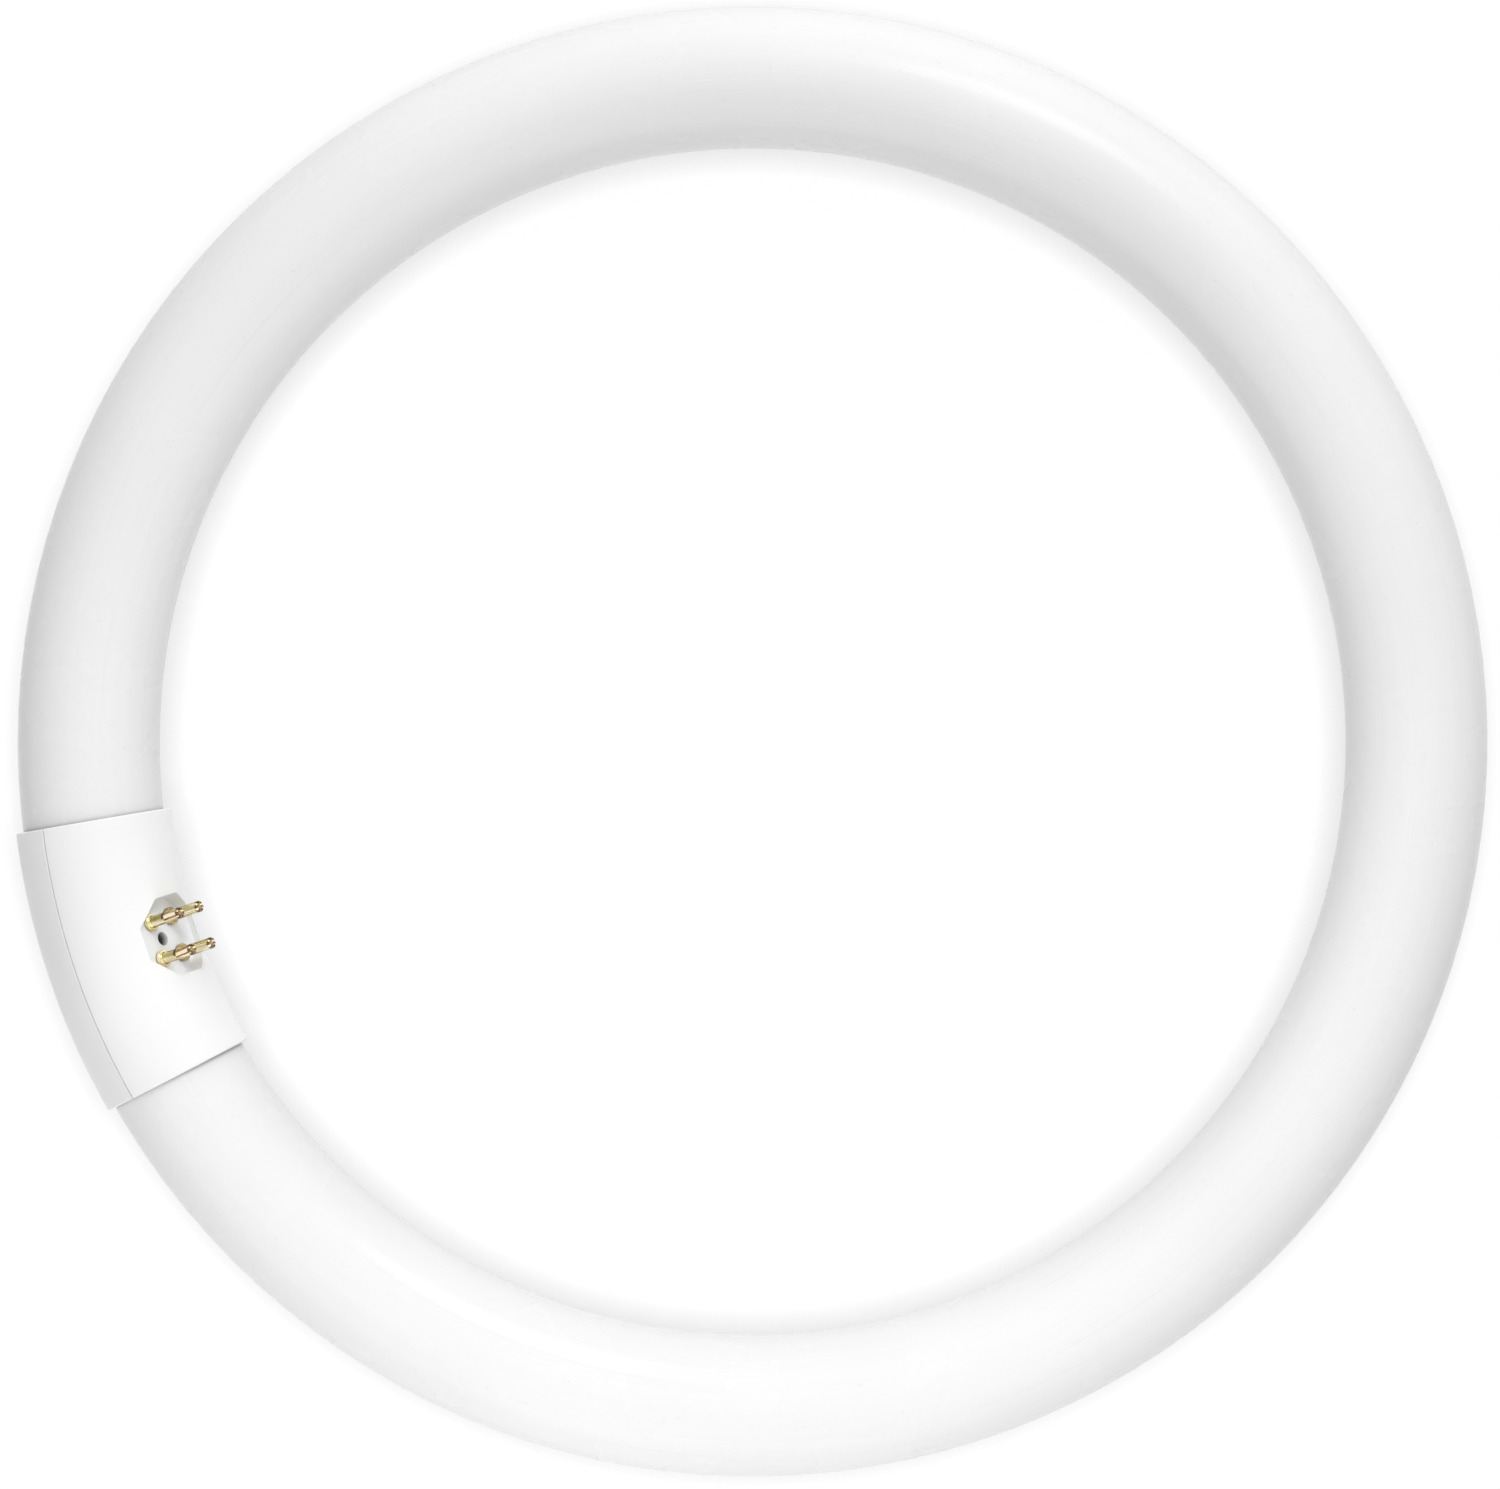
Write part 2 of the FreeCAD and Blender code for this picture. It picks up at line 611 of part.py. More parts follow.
def bend_lengths(points):
    """How far before and after each inner point its bend starts and ends, clear of the sleeve's ends."""
    share_of_run, share_of_sleeve = 0.45, 0.9
    runs = [(points[number + 1] - points[number]).Length for number in range(len(points) - 1)]
    bends = [share_of_run * min(runs[number], runs[number + 1]) for number in range(len(runs) - 1)]
    room = value(cell("lead_bend_drop")) - value(cell("sleeve_end_gap"))
    bends[-1] = min(bends[-1], share_of_sleeve * room)
    return bends


def rounded_path(points, bends):
    """Straight runs joined by tangent arcs."""
    edges = []
    start = points[0]
    for number, bend in enumerate(bends, start=1):
        corner = points[number]
        before = (points[number - 1] - corner).normalize()
        after = (points[number + 1] - corner).normalize()
        enter, leave = corner + before * bend, corner + after * bend
        half_turn = (math.pi - before.getAngle(after)) / 2
        radius = bend / math.tan(half_turn)
        centre = corner + (before + after).normalize() * (radius / math.cos(half_turn))
        middle = centre + (corner - centre).normalize() * radius
        edges.append(Part.LineSegment(start, enter).toShape())
        edges.append(Part.Arc(enter, middle, leave).toShape())
        start = leave
    edges.append(Part.LineSegment(start, points[-1]).toShape())
    return Part.Wire(edges)


def round_bar(points, bends, diameter):
    """A solid bar of round section along a rounded path."""
    path = rounded_path(points, bends)
    section = Part.Wire(Part.Circle(points[0], points[1] - points[0], diameter / 2).toShape())
    return path.makePipeShell([section], True, False)


def lead_wire(label, row, column):
    """One lead, from the stem's floor to the tip of its pin."""
    points = lead_points(row, column)
    return solid_feature(label, round_bar(points, bend_lengths(points), value(cell("lead_dia"))))


def wire_sleeve(label, row, column):
    """The insulating sleeve over the bare part of a lead."""
    points = lead_points(row, column)
    bends = bend_lengths(points)
    end_gap = value(cell("sleeve_end_gap"))
    first_run = (points[1] - points[0]).normalize()
    last_run = (points[3] - points[2]).normalize()
    near_pin = value(cell("lead_bend_drop")) - end_gap
    ends = [points[0] + first_run * end_gap, points[1], points[2], points[2] + last_run * near_pin]
    outside = round_bar(ends, bends, value(cell("sleeve_outer_dia")))
    inside = round_bar(ends, bends, value(cell("sleeve_bore_dia")))
    return solid_feature(label, outside.cut(inside))


def solid_feature(label, shape):
    """A feature whose solid is worked out here, lifted like the bodies."""
    feature = DOC.addObject("Part::Feature", label)
    feature.Label = label
    feature.Shape = shape.Solids[0]
    feature.Placement = Placement(Vector(0, 0, value(COLLAR_OUTSIDE)), Rotation())
    return feature


def corner_names(stem):
    """A numbered name with its row and column for each of the four pins and what serves it."""
    places = [(row, column) for row in SIDES for column in SIDES]
    return [(f"{stem}_{number}", *place) for number, place in enumerate(places, start=1)]


def build():
    """Make every piece of the lamp."""
    fill_sheet()
    pieces = [glass_tube(), pin_shell(), back_shell()]
    pieces += [contact_pin(*place) for place in corner_names("contact_pin")]
    pieces += [lead_wire(*place) for place in corner_names("lead_wire")]
    pieces += [wire_sleeve(*place) for place in corner_names("wire_sleeve")]
    DOC.recompute()
    return pieces


def check(pieces):
    """Stop unless every object is sound and every piece is one valid solid."""
    for item in DOC.Objects:
        if {"Invalid", "Error"} & set(item.State):
            raise RuntimeError(f"{item.Label} did not build: {item.State}")
    for piece in pieces:
        shape = piece.Shape
        if shape.isNull() or not shape.isValid() or len(shape.Solids) != 1:
            raise RuntimeError(f"{piece.Label} is not one valid solid")


def export(pieces):
    """Write each piece to a file of its own."""
    os.makedirs("parts", exist_ok=True)
    for piece in pieces:
        piece.Shape.exportStep(f"parts/{piece.Label}.step")
        print(f"{piece.Label}: {piece.Shape.Volume:.1f} cubic mm, {len(piece.Shape.Faces)} faces")


PIECES = build()
check(PIECES)
export(PIECES)
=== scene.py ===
import math

import bpy
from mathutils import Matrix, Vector

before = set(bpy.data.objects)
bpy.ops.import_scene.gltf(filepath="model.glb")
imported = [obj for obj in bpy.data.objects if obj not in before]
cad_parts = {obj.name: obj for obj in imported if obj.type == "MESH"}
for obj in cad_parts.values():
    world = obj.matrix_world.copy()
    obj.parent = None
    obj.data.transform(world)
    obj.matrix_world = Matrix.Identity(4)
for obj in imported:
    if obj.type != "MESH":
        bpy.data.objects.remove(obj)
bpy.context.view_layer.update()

# The lamp's own measures, in metres and radians, as the CAD model has them.
RING_RADIUS = 0.1378
RING_HEIGHT = 0.0162
COLLAR_RADIUS = 0.0162
COLLAR_HALF_LENGTH = 0.028
COLLAR_END_ANGLE = math.radians(8.8)
SEAM_HEIGHT = 0.0003
RECESS_FLOOR = 0.0124
PIN_TILT = math.radians(37)
PIN_ALONG = 0.00396
PIN_ACROSS = 0.003175
PIN_RADIUS = 0.001175
PIN_SEAT = RECESS_FLOOR + 0.001
PIN_GRIP = RECESS_FLOOR + 0.0047
PIN_TOP = 0.0214

# The photograph looks straight down, with the collar turned to the lower left.
PICTURE_TURN = math.radians(18.5)
CAMERA_HEIGHT = 1.6
CAMERA_CENTRE = (-0.00072, -0.00043)
LENS = 185.0
SENSOR = 36.0

# The clear wall over the tube's powder coat.
WALL_TINT = (0.92, 0.92, 0.92, 1.0)
WALL_IOR = 1.12
WALL_ROUGHNESS = 0.30

# Painted highlights and shade in brass colours across a pin, from one side to the other: on its shank, on a
# front tip and on a rear tip.
SHANK_PAINTED_LIGHT = (
    (0.0, (0.26, 0.17, 0.05)),
    (0.09, (0.62, 0.46, 0.21)),
    (0.15, (1.0, 0.88, 0.63)),
    (0.42, (1.0, 0.89, 0.65)),
    (0.52, (0.86, 0.76, 0.40)),
    (0.60, (0.50, 0.43, 0.16)),
    (0.82, (0.58, 0.51, 0.22)),
    (0.92, (0.90, 0.82, 0.52)),
    (1.0, (0.40, 0.31, 0.12)),
)
FRONT_TIP_PAINTED_LIGHT = (
    (0.0, (0.26, 0.16, 0.05)),
    (0.08, (0.95, 0.80, 0.56)),
    (0.22, (0.97, 0.84, 0.61)),
    (0.29, (0.15, 0.08, 0.02)),
    (0.35, (0.22, 0.13, 0.05)),
    (0.43, (0.93, 0.76, 0.53)),
    (0.57, (0.98, 0.86, 0.64)),
    (0.70, (0.92, 0.74, 0.50)),
    (0.78, (0.20, 0.12, 0.04)),
    (0.86, (0.60, 0.45, 0.22)),
    (0.94, (0.94, 0.80, 0.54)),
    (1.0, (0.42, 0.30, 0.12)),
)
REAR_TIP_PAINTED_LIGHT = (
    (0.0, (0.34, 0.24, 0.10)),
    (0.10, (0.95, 0.86, 0.60)),
    (0.38, (1.0, 0.92, 0.70)),
    (0.62, (0.92, 0.83, 0.54)),
    (0.90, (0.86, 0.76, 0.46)),
    (1.0, (0.46, 0.36, 0.17)),
)

# The studio's soft light: azimuth in the picture, elevation and strength of each wide patch of the room.
ROOM_LIGHT = ((90, 5, 2.53), (270, 5, 0.73), (45, 5, 0.15), (0, 90, 1.22))
PATCH_SHARPNESS = 5.0

# The square lamps: name, azimuth in the picture, elevation, distance, side and power.
LAMPS = (
    ("key", 66, 44, 1.5, 0.45, 5.2),
    ("left_bounce", 236, 28, 0.40, 0.3, 0.25),
    ("low_bounce", 270, 20, 0.45, 0.3, 0.31),
    ("right_bounce", 305, 45, 0.50, 0.3, 0.24),
)
RECESS_FILL_POWER = 0.52
RECESS_FILL_RADIUS = 0.03
RECESS_FILL_SPREAD = math.radians(6.2)
RECESS_FILL_RISE = math.radians(25)
RECESS_FILL_DISTANCE = 0.25

# The floor: the light it gives the object, and its own look with a painted contact shadow.
FLOOR_HALF = 2.5
FLOOR_BOUNCE = (0.80, 0.80, 0.80, 1.0)
FLOOR_SHADED = (0.085, 0.085, 0.085, 1.0)
FLOOR_GLOW = 0.94
CONTACT_REACH = 0.0103
CONTACT_DEPTH = 0.46
CONTACT_SAMPLES = 4


def grey(level):
    return level, level, level, 1.0


class Nodes:
    """The node tree of a material or world, with short calls to add to it."""

    def __init__(self, owner):
        self.owner = owner
        owner.use_nodes = True
        self.tree = owner.node_tree
        self.tree.nodes.clear()

    def add(self, kind, **settings):
        node = self.tree.nodes.new(kind)
        for key, setting in settings.items():
            setattr(node, key, setting)
        return node

    def put(self, socket, source):
        if isinstance(source, bpy.types.NodeSocket):
            self.tree.links.new(source, socket)
        else:
            socket.default_value = source

    def math(self, operation, first, second=None):
        node = self.add("ShaderNodeMath", operation=operation)
        for socket, source in zip(node.inputs, (first, second)):
            if source is not None:
                self.put(socket, source)
        return node.outputs[0]

    def times(self, first, second):
        return self.math("MULTIPLY", first, second)

    def plus(self, first, second):
        return self.math("ADD", first, second)

    def minus(self, first, second):
        return self.math("SUBTRACT", first, second)

    def size(self, source):
        return self.math("ABSOLUTE", source)

    def length(self, first, second):
        return self.math("SQRT", self.plus(self.times(first, first), self.times(second, second)))

    def most(self, *values):
        top = values[0]
        for other in values[1:]:
            top = self.math("MAXIMUM", top, other)
        return top

    def point(self):
        """The point on the object, in metres."""
        return self.add("ShaderNodeTexCoord").outputs["Object"]

    def place(self):
        """The point on the object, as separate x, y and z."""
        split = self.add("ShaderNodeSeparateXYZ")
        self.put(split.inputs[0], self.point())
        return split.outputs

    def on_collar(self):
        """A point's height along the pins, place across them and along the tube, and reach inwards."""
        x, along, z = self.place()
        reach = self.plus(x, RING_RADIUS)
        rise = self.minus(z, RING_HEIGHT)
        lean_cos, lean_sin = math.cos(PIN_TILT), math.sin(PIN_TILT)
        height = self.plus(self.times(reach, lean_cos), self.times(rise, lean_sin))
        across = self.minus(self.times(rise, lean_cos), self.times(reach, lean_sin))
        return height, across, along, reach

    def past_end(self, along, reach):
        """How far a point is outside the nearer end of the collar."""
        past_half = self.minus(self.size(along), COLLAR_HALF_LENGTH)
        straight = self.times(past_half, math.cos(COLLAR_END_ANGLE))
        return self.plus(straight, self.times(reach, math.sin(COLLAR_END_ANGLE)))

    def on_ring(self):
        """A point's angle along the ring, and its place beside and above the tube's middle there."""
        x, y, z = self.place()
        side = self.minus(self.length(x, y), RING_RADIUS)
        return self.math("ARCTAN2", y, x), side, self.minus(z, RING_HEIGHT)

    def scaled(self, place, *scales):
        """A place given by three parts, as one vector, with each part made longer or shorter."""
        node = self.add("ShaderNodeCombineXYZ")
        for socket, part, scale in zip(node.inputs, place, scales):
            self.put(socket, self.times(part, scale))
        return node.outputs[0]

    def noise(self, vector, scale, detail=2.0, roughness=0.5):
        node = self.add("ShaderNodeTexNoise")
        self.put(node.inputs["Vector"], vector)
        node.inputs["Scale"].default_value = scale
        node.inputs["Detail"].default_value = detail
        node.inputs["Roughness"].default_value = roughness
        return node.outputs[0]

    def grain(self, scale, detail=2.0, roughness=0.5):
        """Noise that is as fine in every direction."""
        return self.noise(self.point(), scale, detail, roughness)

    def band(self, source, low, high, out_low=0.0, out_high=1.0):
        node = self.add("ShaderNodeMapRange", clamp=True)
        for socket, setting in zip(node.inputs, (source, low, high, out_low, out_high)):
            self.put(socket, setting)
        return node.outputs[0]

    def blend(self, factor, first, second):
        node = self.add("ShaderNodeMix", data_type="RGBA")
        self.put(node.inputs["Factor"], factor)
        self.put(node.inputs["A"], first)
        self.put(node.inputs["B"], second)
        return node.outputs["Result"]

    def ramp(self, factor, stops):
        node = self.add("ShaderNodeValToRGB")
        self.put(node.inputs[0], factor)
        elements = node.color_ramp.elements
        while len(elements) < len(stops):
            elements.new(0.5)
        for element, (position, colour) in zip(elements, stops):
            element.position = position
            element.color = (*colour, 1.0)
        return node.outputs[0]

    def bump(self, height, distance, strength, below=None):
        node = self.add("ShaderNodeBump")
        node.inputs["Strength"].default_value = strength
        node.inputs["Distance"].default_value = distance
        self.put(node.inputs["Height"], height)
        if below is not None:
            self.put(node.inputs["Normal"], below)
        return node.outputs[0]

    def surface(self, colour, roughness, normal, metallic=0.0, specular=0.5, clear_wall=False):
        shader = self.add("ShaderNodeBsdfPrincipled")
        self.put(shader.inputs["Base Color"], colour)
        self.put(shader.inputs["Roughness"], roughness)
        self.put(shader.inputs["Normal"], normal)
        shader.inputs["Metallic"].default_value = metallic
        shader.inputs["Specular IOR Level"].default_value = specular
        if clear_wall:
            shader.inputs["Coat Weight"].default_value = 1.0
            shader.inputs["Coat Roughness"].default_value = WALL_ROUGHNESS
            shader.inputs["Coat IOR"].default_value = WALL_IOR
            shader.inputs["Coat Tint"].default_value = WALL_TINT
        output = self.add("ShaderNodeOutputMaterial")
        self.put(output.inputs["Surface"], shader.outputs[0])
        return self.owner

    def white_to_the_eye(self, plain, seen):
        """Mixes two shaders: seen is what the camera, gloss and glass meet, plain lights the object."""
        path = self.add("ShaderNodeLightPath")
        kinds = ("Is Camera Ray", "Is Glossy Ray", "Is Transmission Ray")
        mix = self.add("ShaderNodeMixShader")
        self.put(mix.inputs[0], self.most(*(path.outputs[kind] for kind in kinds)))
        self.put(mix.inputs[1], plain)
        self.put(mix.inputs[2], seen)
        return mix.outputs[0]


def new_material(name):
    return Nodes(bpy.data.materials.new(name))


def coated_glass():
    """Clear drawn glass over a white powder coat, whose thickness drifts along the tube, with painted
    highlight lines and painted dark reflection lines along it and a painted shadow by the collar's ends.
    """
    thin_coat, thick_coat = (0.950, 0.950, 0.951, 1.0), (0.975, 0.975, 0.974, 1.0)
    painted_dark_reflection, painted_highlight_line = grey(0.905), grey(0.998)
    speck, dust = grey(0.70), grey(0.45)
    under_collar = (0.24, 0.23, 0.22, 1.0)

    n = new_material("coated_glass")
    along, side, rise = n.on_ring()
    around = n.math("ARCTAN2", rise, side)
    skin = (n.math("COSINE", around), n.math("SINE", around), along)
    streaks = n.noise(n.scaled(skin, 9.0, 9.0, 0.9), scale=1.0, detail=5.0, roughness=0.62)
    cloud = n.grain(scale=26.0, detail=3.0)
    drift = n.plus(n.times(streaks, 0.40), n.times(cloud, 0.60))
    coat = n.blend(n.band(drift, 0.35, 0.65), thin_coat, thick_coat)
    # Painted reflections: thin light and dark lines along the tube stand in for highlights and dark
    # reflections on the glass.
    drawing = n.noise(n.scaled(skin, 26.0, 26.0, 1.3), scale=1.0, detail=1.0)
    with_dark_reflections = n.blend(n.band(drawing, 0.31, 0.26, 0.0, 0.4), coat, painted_dark_reflection)
    with_highlight_lines = n.blend(n.band(drawing, 0.68, 0.73, 0.0, 0.6), with_dark_reflections, painted_highlight_line)
    specks = n.band(n.grain(scale=900.0), 0.70, 0.78, 0.0, 0.25)
    powdered = n.blend(specks, with_highlight_lines, speck)

    _, _, beside, reach = n.on_collar()
    past = n.past_end(beside, reach)
    # Painted shadow: the glass next to the collar's ends is darkened in patches towards the dust colour,
    # for the shade in the gap under the collar's rim.
    gap_shadow_by_end = n.band(past, 0.0009, 0.0, 0.0, 0.45)
    patchy = n.band(n.grain(scale=240.0, detail=3.0), 0.2, 0.6, 0.5, 1.0)
    gap_shadowed = n.blend(n.times(gap_shadow_by_end, patchy), powdered, dust)
    colour = n.blend(n.band(past, -0.0001, -0.0005), gap_shadowed, under_collar)
    smears = n.grain(scale=55.0, detail=3.0)
    roughness = n.band(smears, 0.35, 0.75, 0.22, 0.32)
    normal = n.bump(streaks, distance=0.00004, strength=0.4)
    return n.surface(colour, roughness, normal, specular=0.15, clear_wall=True)


def white_plastic(name, duller, brighter):
    """Moulded white plastic with a satin grain: dust in the seam, painted light in the recess and an unlit
    inside.
    """
    # Painted light: the recess gets a brighter, bluer white than the rest of the plastic.
    recess_painted_light = (0.945, 0.964, 0.990, 1.0)
    dust, unlit_inside = grey(0.45), grey(0.20)

    n = new_material(name)
    height, _, beside, reach = n.on_collar()
    _, side, rise = n.on_ring()
    flow = n.grain(scale=40.0)
    base = n.blend(n.band(flow, 0.3, 0.7), duller, brighter)

    seam_plane = n.plus(n.times(side, math.cos(PIN_TILT)), SEAM_HEIGHT)
    from_seam = n.minus(n.times(rise, math.sin(PIN_TILT)), seam_plane)
    on_seam = n.band(n.size(from_seam), 0.00022, 0.00010)
    patchy = n.band(n.grain(scale=300.0, detail=3.0), 0.25, 0.65, 0.35, 0.80)
    seamed = n.blend(n.times(on_seam, patchy), base, dust)

    from_tube = n.length(side, rise)
    sunk = n.band(from_tube, COLLAR_RADIUS - 0.0001, COLLAR_RADIUS - 0.0006)
    recessed = n.blend(sunk, seamed, recess_painted_light)
    under_floor = n.band(height, RECESS_FLOOR - 0.0003, RECESS_FLOOR - 0.0017)
    far_in = n.band(n.past_end(beside, reach), -0.008, -0.006)
    within = n.band(from_tube, COLLAR_RADIUS - 0.0006, COLLAR_RADIUS - 0.0009)
    unlit = n.times(within, n.most(under_floor, far_in))
    colour = n.blend(unlit, recessed, unlit_inside)

    handled = n.grain(scale=90.0, detail=4.0, roughness=0.6)
    roughness = n.band(handled, 0.45, 0.75, 0.32, 0.48)
    fine = n.bump(n.grain(scale=5200.0), distance=0.00002, strength=0.35)
    ripple = n.grain(scale=160.0, detail=3.0)
    normal = n.bump(ripple, distance=0.00003, strength=0.5, below=fine)
    return n.surface(colour, roughness, normal)


def pin_brass():
    """Polished brass, with highlights and shade painted in bands across each pin and its flange, dark brown
    at its crimped tip and darker at its foot.
    """
    flange_painted_shade, flange_painted_highlight = (0.66, 0.56, 0.26, 1.0), (0.95, 0.85, 0.57, 1.0)
    rear_shadow_paler, rear_shadow_deeper = (0.62, 0.48, 0.26, 1.0), (0.36, 0.26, 0.11, 1.0)
    solder, dark_brown = (0.70, 0.54, 0.36, 1.0), (0.085, 0.052, 0.018, 1.0)

    n = new_material("pin_brass")
    height, across, beside, _ = n.on_collar()
    front = n.band(across, -0.0001, 0.0001)
    up = n.minus(across, n.times(n.math("SIGN", across), PIN_ACROSS))
    sideways = n.minus(beside, n.times(n.math("SIGN", beside), PIN_ALONG))
    from_axis = n.length(up, sideways)
    lengthwise = n.scaled((height, across, beside), 220.0, 2400.0, 2400.0)
    wear = n.noise(lengthwise, scale=1.0, detail=3.0, roughness=0.55)
    stain = n.grain(scale=520.0, detail=3.0, roughness=0.6)

    wander = n.times(n.minus(n.grain(scale=420.0), 0.5), 0.22)
    # Painted highlights and shade: colour bands across each pin, from one side to the other.
    round_pin = n.plus(n.band(sideways, -PIN_RADIUS, PIN_RADIUS), wander)
    shank = n.ramp(round_pin, SHANK_PAINTED_LIGHT)
    front_tip = n.ramp(round_pin, FRONT_TIP_PAINTED_LIGHT)
    rear_tip = n.ramp(round_pin, REAR_TIP_PAINTED_LIGHT)
    toward_tip = n.band(height, PIN_GRIP, PIN_GRIP + 0.0002)
    painted_shading = n.blend(toward_tip, shank, n.blend(front, rear_tip, front_tip))

    # Painted light on the flanges: the front pins' flanges go from painted shade to a painted highlight
    # across the pin, and the rear pins' flanges get a painted shadow, varied by the wear noise.
    front_flange_painted_light = n.blend(n.band(round_pin, 0.20, 0.45), flange_painted_shade, flange_painted_highlight)
    rear_flange_painted_shadow = n.blend(n.band(wear, 0.35, 0.65), rear_shadow_paler, rear_shadow_deeper)
    low_enough = n.band(height, PIN_SEAT + 0.0002, PIN_SEAT)
    wide_enough = n.band(from_axis, PIN_RADIUS, PIN_RADIUS + 0.0002)
    on_flange = n.times(low_enough, wide_enough)
    body = n.blend(on_flange, painted_shading, n.blend(front, rear_flange_painted_shadow, front_flange_painted_light))

    # A darker line on one half of each front pin, around the grip height.
    by_grip = n.band(n.size(n.minus(height, PIN_GRIP)), 0.00042, 0.00022)
    dark_line_by_grip = n.times(n.times(by_grip, n.band(round_pin, 0.40, 0.50)), front)
    # Darker where the pin meets the recess floor, with a ragged edge.
    ragged = n.plus(height, n.times(stain, 0.0004))
    foot = n.band(ragged, RECESS_FLOOR + 0.0006, RECESS_FLOOR + 0.0003)

    turn = n.math("ARCTAN2", up, sideways)
    spokes = n.band(n.math("COSINE", n.plus(n.times(turn, 6.0), 0.7)), 0.55, 0.35)
    spotted = n.times(spokes, n.band(stain, 0.30, 0.45, 0.75, 1.0))
    near_top = n.band(height, PIN_TOP - 0.00075, PIN_TOP - 0.0005)
    rim = n.times(n.times(near_top, n.band(from_axis, 0.00062, 0.00070)), spotted)
    in_the_tip = n.band(height, PIN_TOP - 0.0012, PIN_TOP - 0.0008)
    dimple = n.times(in_the_tip, n.band(from_axis, 0.00074, 0.00068))

    dark = n.most(n.times(dark_line_by_grip, 0.92), n.times(foot, 0.75), n.times(rim, 0.94))
    fused = n.blend(n.times(dimple, 0.85), body, solder)
    colour = n.blend(dark, fused, dark_brown)
    roughness = n.plus(n.band(wear, 0.3, 0.75, 0.08, 0.20), n.times(dark, 0.25))
    normal = n.bump(wear, distance=0.000003, strength=0.4)
    return n.surface(colour, roughness, normal, metallic=1.0)


def lead_metal():
    """Tinned wire with drawing marks along it, fused and browned where it ends in the pin's tip."""
    tin_bright, tin_dull = (0.62, 0.60, 0.57, 1.0), (0.42, 0.39, 0.35, 1.0)
    brown_bright, brown_dull = (0.74, 0.55, 0.40, 1.0), (0.36, 0.24, 0.14, 1.0)

    n = new_material("lead_metal")
    height, _, _, _ = n.on_collar()
    wear = n.grain(scale=1800.0, detail=3.0)
    worn = n.band(wear, 0.35, 0.7)
    tinned = n.blend(worn, tin_bright, tin_dull)
    browned = n.blend(worn, brown_bright, brown_dull)
    colour = n.blend(n.band(height, PIN_TOP - 0.002, PIN_TOP - 0.001), tinned, browned)
    roughness = n.band(wear, 0.3, 0.7, 0.24, 0.45)
    normal = n.bump(wear, distance=0.00001, strength=0.4)
    return n.surface(colour, roughness, normal, metallic=1.0)


def sleeve_fibre():
    """Braided insulating sleeve, off-white and matte, with strands that cross at a slant."""
    hollow, strand = (0.70, 0.68, 0.61, 1.0), (0.88, 0.87, 0.82, 1.0)
    strand_pitch = 9000.0

    n = new_material("sleeve_fibre")
    height, across, beside, _ = n.on_collar()
    level = n.plus(across, beside)
    rising = n.math("SINE", n.times(n.plus(height, level), strand_pitch))
    falling = n.math("SINE", n.times(n.minus(height, level), strand_pitch))
    braid = n.times(rising, falling)
    woven = n.plus(n.times(braid, 0.25), n.grain(scale=2400.0))
    colour = n.blend(n.band(woven, 0.25, 0.8), hollow, strand)
    normal = n.bump(woven, distance=0.00005, strength=0.6)
    return n.surface(colour, 0.75, normal)


def dress_nodes():
    """Every CAD node keeps its mesh and gets its finish."""
    finishes = {
        "glass_tube": coated_glass(),
        "pin_shell": white_plastic("front_plastic", (0.916, 0.917, 0.918, 1.0), grey(0.944)),
        # Painted shade: the back shell gets a darker copy of the same white plastic, for its side that
        # turns away from the light.
        "back_shell": white_plastic("back_plastic_painted_shade", (0.852, 0.853, 0.854, 1.0), grey(0.882)),
        "contact_pin": pin_brass(),
        "lead_wire": lead_metal(),
        "wire_sleeve": sleeve_fibre(),
    }
    for name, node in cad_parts.items():
        family = name.rstrip("0123456789").rstrip("_")
        for slot in node.material_slots:
            slot.material = finishes[family]


def slant(turn, rise):
    """A direction of length one, from its angle about the vertical and its angle above the floor."""
    return Vector((math.cos(turn) * math.cos(rise), math.sin(turn) * math.cos(rise), math.sin(rise)))


def way_in_picture(azimuth, elevation):
    """A direction from the ring, whose azimuth is counted in the picture from its right edge."""
    return slant(math.radians(azimuth) - PICTURE_TURN, math.radians(elevation))


def make_world():
    """Soft wide patches of light for the object, and plain white for the eye."""
    n = Nodes(bpy.data.worlds.new("studio"))
    towards = n.add("ShaderNodeTexCoord").outputs["Generated"]
    strength = 0.0
    for azimuth, elevation, level in ROOM_LIGHT:
        near = n.add("ShaderNodeVectorMath", operation="DOT_PRODUCT")
        n.put(near.inputs[0], towards)
        near.inputs[1].default_value = way_in_picture(azimuth, elevation)
        patch = n.math("EXPONENT", n.times(n.minus(near.outputs["Value"], 1.0), PATCH_SHARPNESS))
        strength = n.plus(strength, n.times(patch, level))
    room = n.add("ShaderNodeBackground")
    n.put(room.inputs["Strength"], strength)
    seen = n.add("ShaderNodeBackground")
    for background in (room, seen):
        background.inputs["Color"].default_value = grey(1.0)
    output = n.add("ShaderNodeOutputWorld")
    n.put(output.inputs["Surface"], n.white_to_the_eye(room.outputs[0], seen.outputs[0]))
    bpy.context.scene.world = n.owner


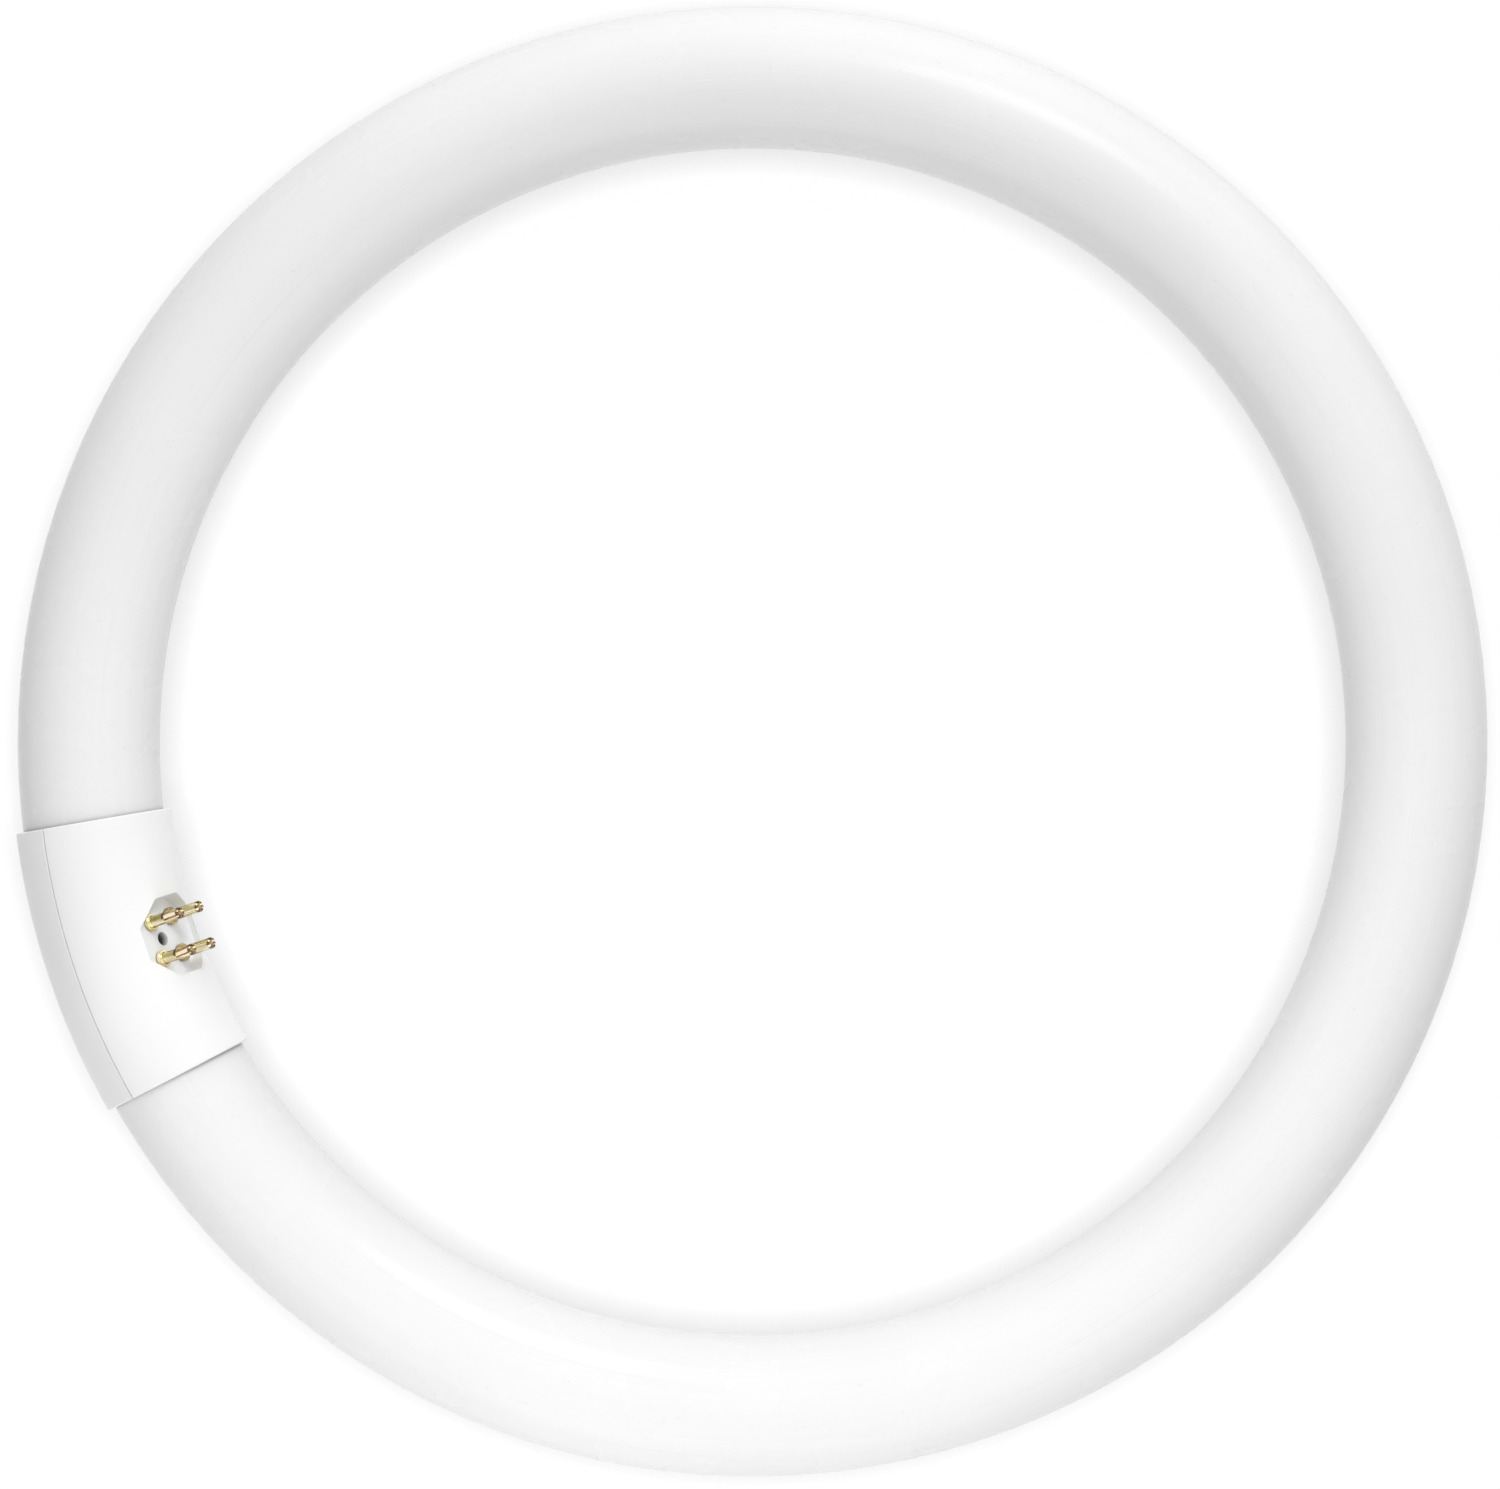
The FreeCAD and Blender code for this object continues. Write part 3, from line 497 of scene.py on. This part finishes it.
def make_floor():
    """A white floor, with the lamps' soft shadows and a short painted contact shadow about the object."""
    mesh = bpy.data.meshes.new("floor")
    turns = ((-1, -1), (1, -1), (1, 1), (-1, 1))
    corners = [(x * FLOOR_HALF, y * FLOOR_HALF, 0.0) for x, y in turns]
    mesh.from_pydata(corners, [], [(0, 1, 2, 3)])
    floor = bpy.data.objects.new("floor", mesh)
    bpy.context.scene.collection.objects.link(floor)
    n = new_material("floor_white")
    bounce = n.add("ShaderNodeBsdfDiffuse")
    bounce.inputs["Color"].default_value = FLOOR_BOUNCE
    shaded = n.add("ShaderNodeBsdfDiffuse")
    shaded.inputs["Color"].default_value = FLOOR_SHADED
    # Painted contact shadow: ambient occlusion dims the floor's glow next to the object.
    contact = n.add("ShaderNodeAmbientOcclusion", samples=CONTACT_SAMPLES)
    contact.inputs["Distance"].default_value = CONTACT_REACH
    open_to_the_room = n.band(contact.outputs["AO"], 0.0, 1.0, 1.0 - CONTACT_DEPTH, 1.0)
    glow = n.add("ShaderNodeEmission")
    n.put(glow.inputs["Strength"], n.times(open_to_the_room, FLOOR_GLOW))
    seen = n.add("ShaderNodeAddShader")
    n.put(seen.inputs[0], shaded.outputs[0])
    n.put(seen.inputs[1], glow.outputs[0])
    output = n.add("ShaderNodeOutputMaterial")
    n.put(output.inputs["Surface"], n.white_to_the_eye(bounce.outputs[0], seen.outputs[0]))
    mesh.materials.append(n.owner)


def hang(light, target, way, distance):
    """Hangs a light away from a target, so that it shines back at it."""
    holder = bpy.data.objects.new(light.name, light)
    holder.location = target + way * distance
    holder.rotation_euler = way.to_track_quat("Z", "Y").to_euler()
    holder.visible_camera = False
    bpy.context.scene.collection.objects.link(holder)


def make_recess_fill():
    """A small hooded lamp that looks into the collar's recess from the ring's middle."""
    light = bpy.data.lights.new("recess_fill", "SPOT")
    light.energy = RECESS_FILL_POWER
    light.shadow_soft_size = RECESS_FILL_RADIUS
    light.spot_size = RECESS_FILL_SPREAD
    light.spot_blend = 1.0
    tube_middle = Vector((-RING_RADIUS, 0.0, RING_HEIGHT))
    recess = tube_middle + slant(0.0, PIN_TILT) * RECESS_FLOOR
    hang(light, recess, slant(0.0, RECESS_FILL_RISE), RECESS_FILL_DISTANCE)


def make_lamps():
    ring_middle = Vector((0.0, 0.0, RING_HEIGHT))
    for name, azimuth, elevation, distance, side, power in LAMPS:
        light = bpy.data.lights.new(name, "AREA")
        light.shape = "SQUARE"
        light.size = side
        light.energy = power
        hang(light, ring_middle, way_in_picture(azimuth, elevation), distance)


def make_camera():
    data = bpy.data.cameras.new("camera")
    data.sensor_width = SENSOR
    data.lens = LENS
    camera = bpy.data.objects.new("camera", data)
    camera.location = (*CAMERA_CENTRE, RING_HEIGHT + CAMERA_HEIGHT)
    camera.rotation_euler = (0.0, 0.0, -PICTURE_TURN)
    bpy.context.scene.collection.objects.link(camera)
    bpy.context.scene.camera = camera


dress_nodes()
make_world()
make_floor()
make_recess_fill()
make_lamps()
make_camera()
bpy.context.scene.view_settings.view_transform = "Standard"
